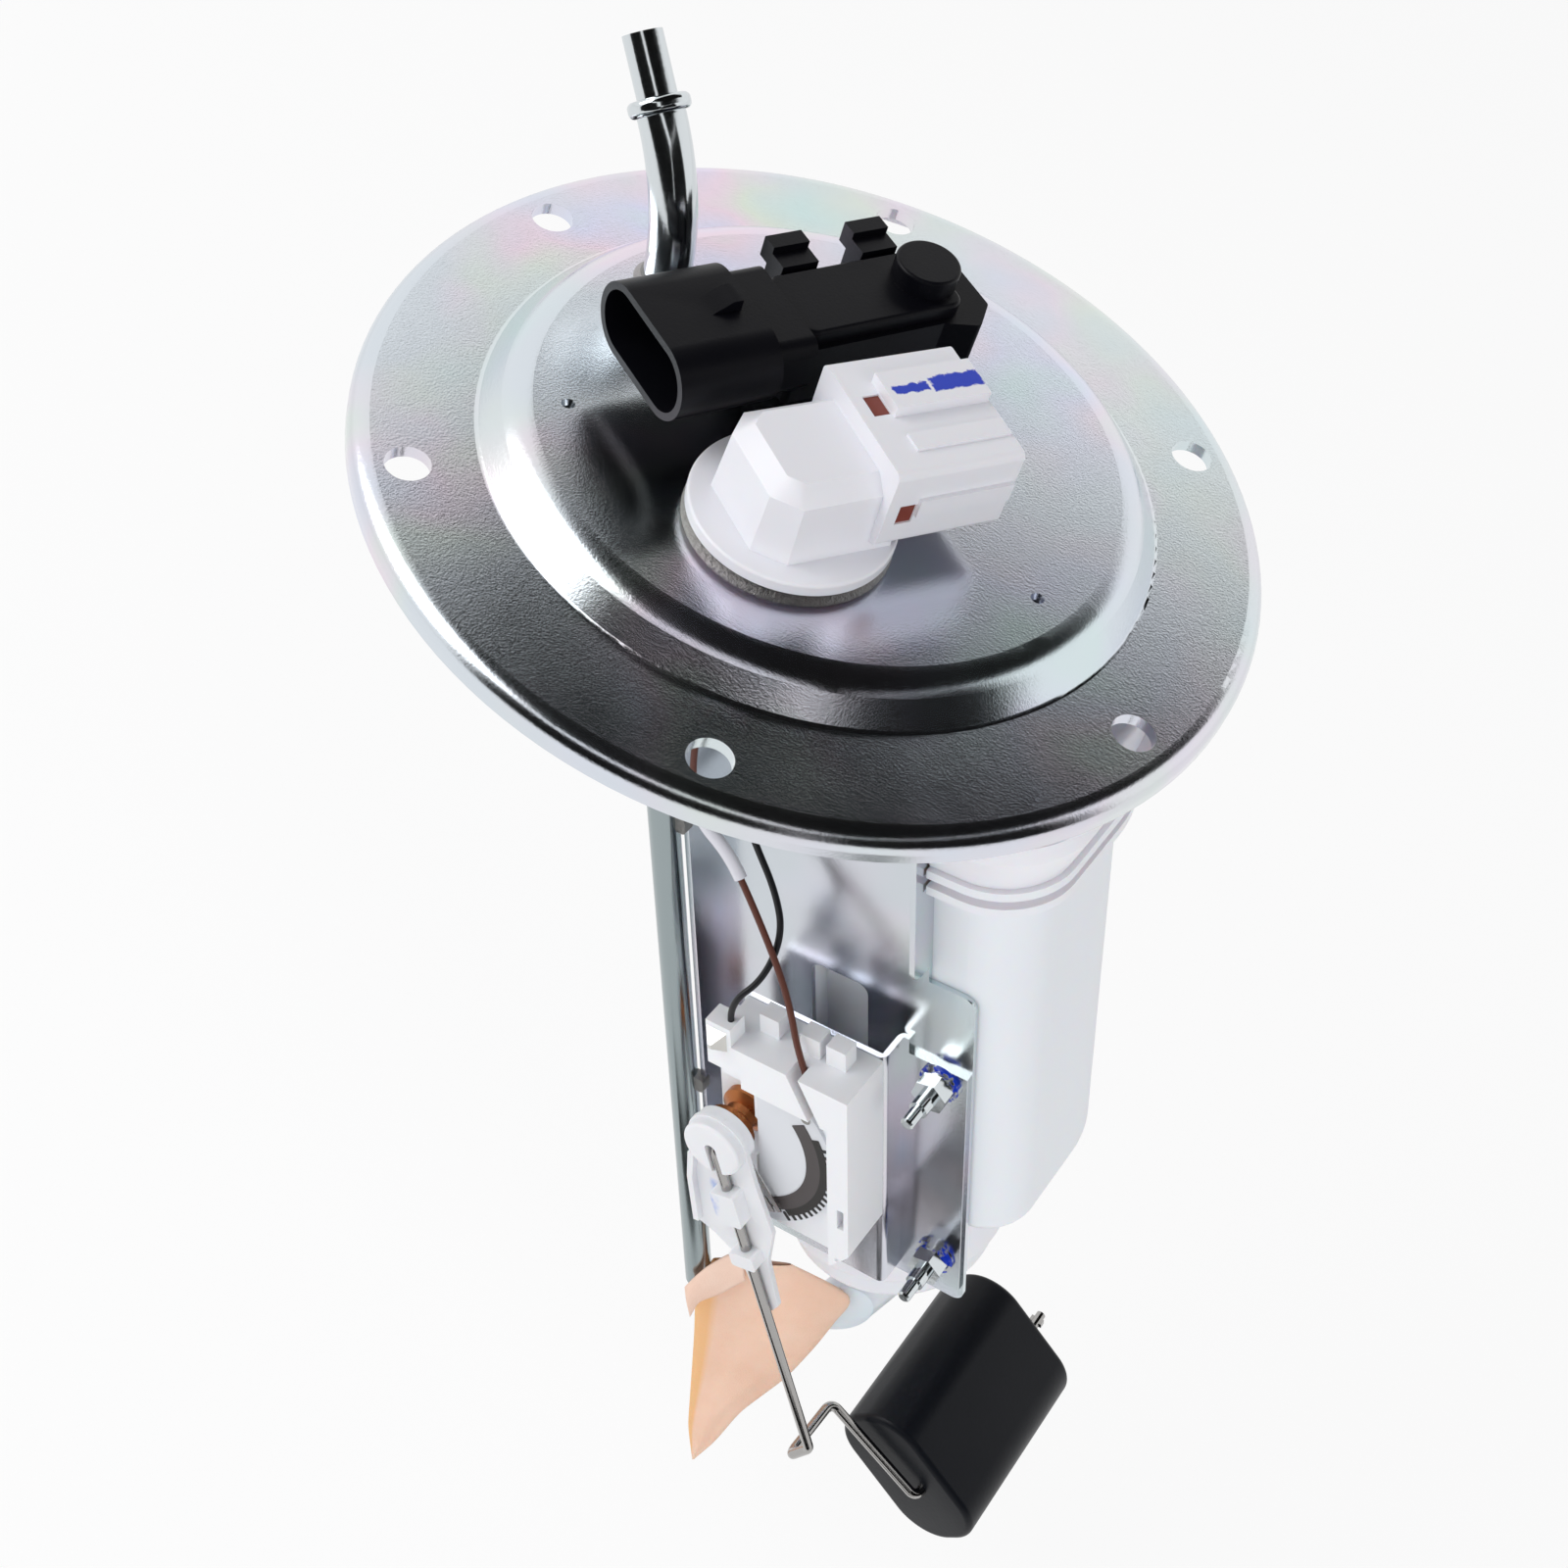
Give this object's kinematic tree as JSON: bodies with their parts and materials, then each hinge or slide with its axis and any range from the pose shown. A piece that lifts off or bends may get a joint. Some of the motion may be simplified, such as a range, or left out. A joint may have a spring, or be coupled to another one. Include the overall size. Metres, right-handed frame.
{
  "type": "fuel pump module",
  "caption": "In-tank fuel pump module: domed bolt-down flange with outlet pipe, connector and pressure sensor, over a hanger with filter housing, strainer and float-arm level sender.",
  "frame": {"origin": "centre of the bolt circle on the flange's seat face, the underside of its flat ring", "axes": "+Z out of the tank along the flange's normal, +X to the right along the hanger plate seen from its front, +Y from the level sender towards the filter housing"},
  "size_m": [0.2313, 0.178, 0.304],
  "materials": {
    "zinc_sheet": "zinc plated, half bright",
    "bright_steel": "bright drawn",
    "weld": "rough weld",
    "white_plastic": "natural moulded",
    "milky_plastic": "milky, slightly translucent",
    "black_plastic": "satin moulded",
    "brown_plastic": "moulded",
    "tin": "tinned",
    "bronze": "copper brown",
    "rubber": "matt",
    "foam": "closed cell, smooth",
    "card": "matt",
    "track_grey": "fired film",
    "track_black": "fired film",
    "filter_paper": "pleated",
    "magnet": "sintered",
    "winding": "enamelled wire",
    "peach_cloth": "felted filter cloth",
    "wire_brown": "insulation",
    "wire_black": "insulation",
    "wire_red": "insulation",
    "clear_sleeve": "clear"
  },
  "bodies": {
    "module": {"mounting_flange": "zinc_sheet", "connector_collar": "zinc_sheet", "collar_weld": "weld", "pipe_weld": "weld", "connector_body": "white_plastic", "connector_lock": "brown_plastic", "connector_terminals": "tin", "connector_wire_tabs": "tin", "sensor_body": "black_plastic", "sensor_lid": "black_plastic", "sensor_terminals": "tin", "sensor_grommet": "rubber", "outlet_pipe": "bright_steel", "fuel_hose": "rubber", "hose_clamps": "bright_steel", "outlet_nipple": "milky_plastic", "side_tube": "bright_steel", "tube_welds": "weld", "hanger_bracket": "zinc_sheet", "sender_bracket": "zinc_sheet", "sender_studs": "bright_steel", "sender_washers": "bright_steel", "sender_lock_washers": "bright_steel", "sender_nuts": "bright_steel", "sender_housing": "white_plastic", "resistor_card": "card", "resistor_track": "track_grey", "resistor_comb": "track_black", "sender_terminals": "tin", "pivot_bush": "bronze", "pump_housing": "milky_plastic", "housing_cap": "milky_plastic", "filter_element": "filter_paper", "pressure_regulator": "tin", "pump_case": "bright_steel", "pump_magnets": "magnet", "pump_upper_plate": "tin", "pump_inlet_cover": "milky_plastic", "pump_outlet_cover": "black_plastic", "pump_brushes": "winding", "lower_holder": "milky_plastic", "strainer_neck": "milky_plastic", "strainer_sock": "peach_cloth", "brown_wire": "wire_brown", "black_wire": "wire_black", "pump_wire_red": "wire_red", "pump_wire_black": "wire_black", "wire_sleeve": "clear_sleeve"},
    "arm": {"float_rod": "bright_steel", "arm_holder": "white_plastic", "wiper_contact": "tin"},
    "float_body": {"float": "foam"},
    "rotor": {"pump_armature": "winding", "pump_impeller": "black_plastic"}
  },
  "joints": [
    {"name": "arm_hinge", "type": "hinge", "parent": "module", "child": "arm", "pos_m": [0.05082, -0.052, -0.12117], "axis": [0, -1, 0], "range_deg": [-4, 84]},
    {"name": "float_swivel", "type": "hinge", "parent": "arm", "child": "float_body", "pos_m": [0.12723, -0.0125, -0.22229], "axis": [0, 1, 0], "continuous": true},
    {"name": "rotor_spin", "type": "hinge", "parent": "module", "child": "rotor", "pos_m": [0.06583, -0.002, -0.11305], "axis": [-0.314, 0, 0.9494], "continuous": true}
  ]
}
